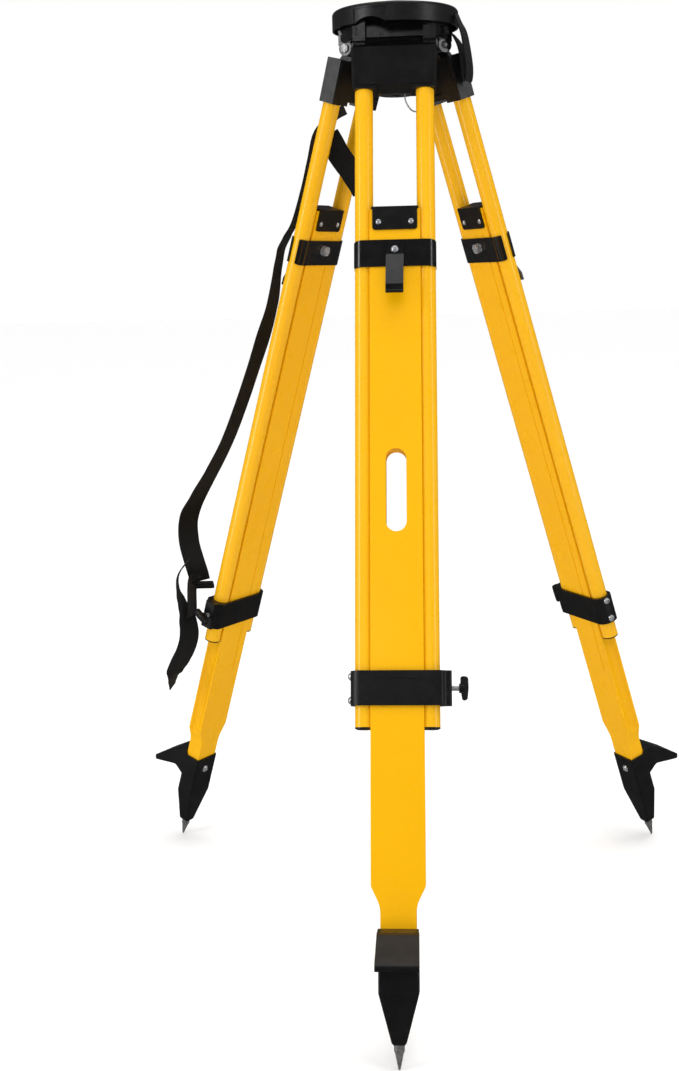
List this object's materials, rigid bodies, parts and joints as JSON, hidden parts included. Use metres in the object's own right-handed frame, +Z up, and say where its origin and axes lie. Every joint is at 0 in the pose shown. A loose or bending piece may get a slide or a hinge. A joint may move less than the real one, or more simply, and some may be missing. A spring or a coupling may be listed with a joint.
{
  "type": "surveying tripod",
  "caption": "Telescopic surveying tripod with a round screw head, clamped double-tube outer legs, sliding inner legs and steel points.",
  "frame": {"origin": "on the ground, straight below the centre of the head; the ground touches the three steel points", "axes": "+Z up along the fastening screw, front leg towards -Y, left leg towards -X"},
  "size_m": [0.7994, 0.742, 1.19],
  "materials": {
    "black_paint": "satin",
    "black_plastic": "matte",
    "brass": "satin",
    "point_steel": "dull",
    "webbing": "woven",
    "yellow_board": "painted, semi-gloss",
    "yellow_paint": "semi-gloss",
    "zinc_steel": "bright zinc"
  },
  "bodies": {
    "head": {"head_casting": "black_paint", "hinge_bolts": "zinc_steel", "arm_pivot_bolt": "zinc_steel", "cap_tether": "webbing"},
    "head_cap": {"head_cap": "black_plastic"},
    "centring_arm": {"centring_arm": "zinc_steel"},
    "slide_bush": {"slide_bush": "brass"},
    "screw_lift": {"retaining_ring": "zinc_steel"},
    "fastening_screw": {"fastening_screw": "brass", "screw_knob": "black_plastic", "plumb_hook": "zinc_steel"},
    "front_upper_leg": {"front_shoulder": "black_paint", "front_poles": "yellow_paint", "front_pole_plugs": "black_plastic", "front_lower_clamp": "black_paint", "front_clamp_bolts": "zinc_steel"},
    "front_lower_leg": {"front_board": "yellow_board", "front_board_cap": "black_paint", "front_guide_plates": "black_paint", "front_belt_hook": "black_paint", "front_board_fasteners": "zinc_steel", "front_shoe": "black_paint", "front_steel_point": "point_steel"},
    "front_pressure_pad": {"front_pressure_pad": "black_plastic"},
    "front_clamp_screw": {"front_clamp_screw": "zinc_steel", "front_clamp_knob": "black_plastic"},
    "left_upper_leg": {"left_shoulder": "black_paint", "left_poles": "yellow_paint", "left_pole_plugs": "black_plastic", "left_lower_clamp": "black_paint", "left_clamp_bolts": "zinc_steel", "carry_strap": "webbing", "strap_buckle": "black_plastic", "strap_end": "webbing", "strap_tail": "webbing"},
    "left_lower_leg": {"left_board": "yellow_board", "left_board_cap": "black_paint", "left_guide_plates": "black_paint", "left_belt_hook": "black_paint", "left_board_fasteners": "zinc_steel", "left_shoe": "black_paint", "left_steel_point": "point_steel"},
    "left_pressure_pad": {"left_pressure_pad": "black_plastic"},
    "left_clamp_screw": {"left_clamp_screw": "zinc_steel", "left_clamp_knob": "black_plastic"},
    "right_upper_leg": {"right_shoulder": "black_paint", "right_poles": "yellow_paint", "right_pole_plugs": "black_plastic", "right_lower_clamp": "black_paint", "right_clamp_bolts": "zinc_steel"},
    "right_lower_leg": {"right_board": "yellow_board", "right_board_cap": "black_paint", "right_guide_plates": "black_paint", "right_belt_hook": "black_paint", "right_board_fasteners": "zinc_steel", "right_shoe": "black_paint", "right_steel_point": "point_steel"},
    "right_pressure_pad": {"right_pressure_pad": "black_plastic"},
    "right_clamp_screw": {"right_clamp_screw": "zinc_steel", "right_clamp_knob": "black_plastic"}
  },
  "joints": [
    {"name": "cap_lift", "type": "slide", "parent": "head", "child": "head_cap", "axis": [0, 0, 1], "range_m": [0, 0.04]},
    {"name": "arm_swing", "type": "hinge", "parent": "head", "child": "centring_arm", "pos_m": [0, 0.044, 1.1404], "axis": [0, 0, 1], "range_deg": [-14, 14]},
    {"name": "bush_slide", "type": "slide", "parent": "centring_arm", "child": "slide_bush", "axis": [0, 1, 0], "range_m": [-0.012, 0.012]},
    {"name": "screw_lift", "type": "slide", "parent": "slide_bush", "child": "screw_lift", "axis": [0, 0, 1], "range_m": [0, 0.009]},
    {"name": "screw_turn", "type": "hinge", "parent": "screw_lift", "child": "fastening_screw", "pos_m": [0, 0, 1.1674], "axis": [0, 0, 1], "continuous": true},
    {"name": "front_leg_hinge", "type": "hinge", "parent": "head", "child": "front_upper_leg", "pos_m": [0, -0.043, 1.1374], "axis": [1, 0, 0], "range_deg": [-11.8, 19.7]},
    {"name": "front_leg_extend", "type": "slide", "parent": "front_upper_leg", "child": "front_lower_leg", "axis": [0, -0.3453, -0.9385], "range_m": [-0.05, 0.44]},
    {"name": "front_clamp_travel", "type": "slide", "parent": "front_upper_leg", "child": "front_pressure_pad", "axis": [1, 0, 0], "range_m": [0, 0.0025]},
    {"name": "front_clamp_turn", "type": "hinge", "parent": "front_pressure_pad", "child": "front_clamp_screw", "pos_m": [0.055, -0.32991, 0.38947], "axis": [1, 0, 0], "range_deg": [0, 720]},
    {"name": "left_leg_hinge", "type": "hinge", "parent": "head", "child": "left_upper_leg", "pos_m": [-0.03724, 0.0215, 1.1374], "axis": [-0.5, -0.866, 0], "range_deg": [-14.35, 17.15]},
    {"name": "left_leg_extend", "type": "slide", "parent": "left_upper_leg", "child": "left_lower_leg", "axis": [-0.2626, 0.1516, -0.9529], "range_m": [-0.05, 0.44]},
    {"name": "left_clamp_travel", "type": "slide", "parent": "left_upper_leg", "child": "left_pressure_pad", "axis": [-0.5, -0.866, 0], "range_m": [0, 0.0025]},
    {"name": "left_clamp_turn", "type": "hinge", "parent": "left_pressure_pad", "child": "left_clamp_screw", "pos_m": [-0.28414, 0.10054, 0.37744], "axis": [-0.5, -0.866, 0], "range_deg": [0, 720]},
    {"name": "right_leg_hinge", "type": "hinge", "parent": "head", "child": "right_upper_leg", "pos_m": [0.03724, 0.0215, 1.1374], "axis": [-0.5, 0.866, 0], "range_deg": [-14.03, 17.47]},
    {"name": "right_leg_extend", "type": "slide", "parent": "right_upper_leg", "child": "right_lower_leg", "axis": [0.2672, 0.1543, -0.9512], "range_m": [-0.05, 0.44]},
    {"name": "right_clamp_travel", "type": "slide", "parent": "right_upper_leg", "child": "right_pressure_pad", "axis": [-0.5, 0.866, 0], "range_m": [0, 0.0025]},
    {"name": "right_clamp_turn", "type": "hinge", "parent": "right_pressure_pad", "child": "right_clamp_screw", "pos_m": [0.23282, 0.19792, 0.37887], "axis": [-0.5, 0.866, 0], "range_deg": [0, 720]}
  ],
  "couplings": [
    {"joint": "front_clamp_travel", "follows": "front_clamp_turn", "m_per_rad": 0.00019894},
    {"joint": "left_clamp_travel", "follows": "left_clamp_turn", "m_per_rad": 0.00019894},
    {"joint": "right_clamp_travel", "follows": "right_clamp_turn", "m_per_rad": 0.00019894}
  ]
}
